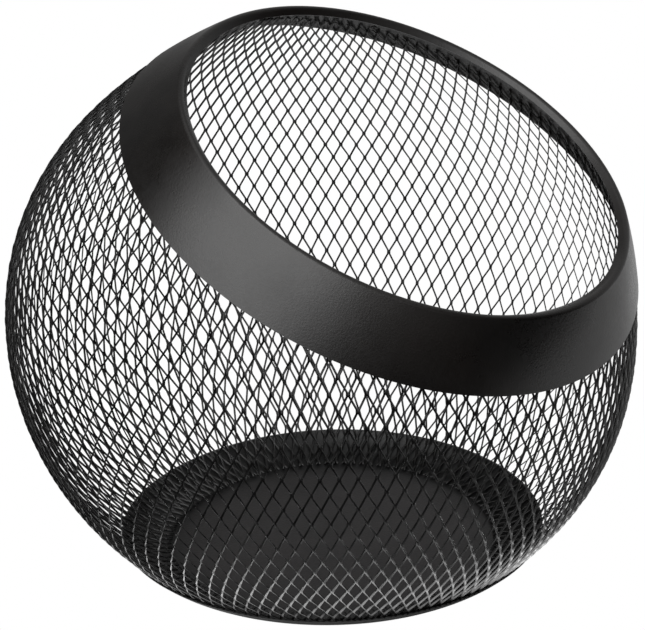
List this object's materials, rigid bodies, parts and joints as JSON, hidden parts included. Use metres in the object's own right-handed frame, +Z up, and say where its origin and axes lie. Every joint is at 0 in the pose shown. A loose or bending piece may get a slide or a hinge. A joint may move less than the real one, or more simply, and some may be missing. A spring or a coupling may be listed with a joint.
{
  "type": "globe fire basket",
  "caption": "Garden fire pit: a globe basket of expanded metal with a slanted sheet-metal rim band and a shallow flat-floored base bowl.",
  "frame": {"origin": "centre of the base bowl's flat underside", "axes": "+Z up; -Y towards the low side of the slanted mouth; +X to the right when facing the low side"},
  "size_m": [0.4016, 0.3983, 0.3423],
  "materials": {
    "painted_sheet": "satin black heat-resistant powder coat on smooth rolled sheet",
    "painted_mesh": "satin black heat-resistant powder coat on raised expanded metal",
    "painted_bowl": "matt black heat-resistant powder coat on pressed sheet"
  },
  "bodies": {
    "root": {"rim_band": "painted_sheet", "mesh_basket": "painted_mesh", "base_bowl": "painted_bowl", "rim_spot_welds": "painted_mesh", "base_spot_welds": "painted_mesh"}
  },
  "joints": []
}
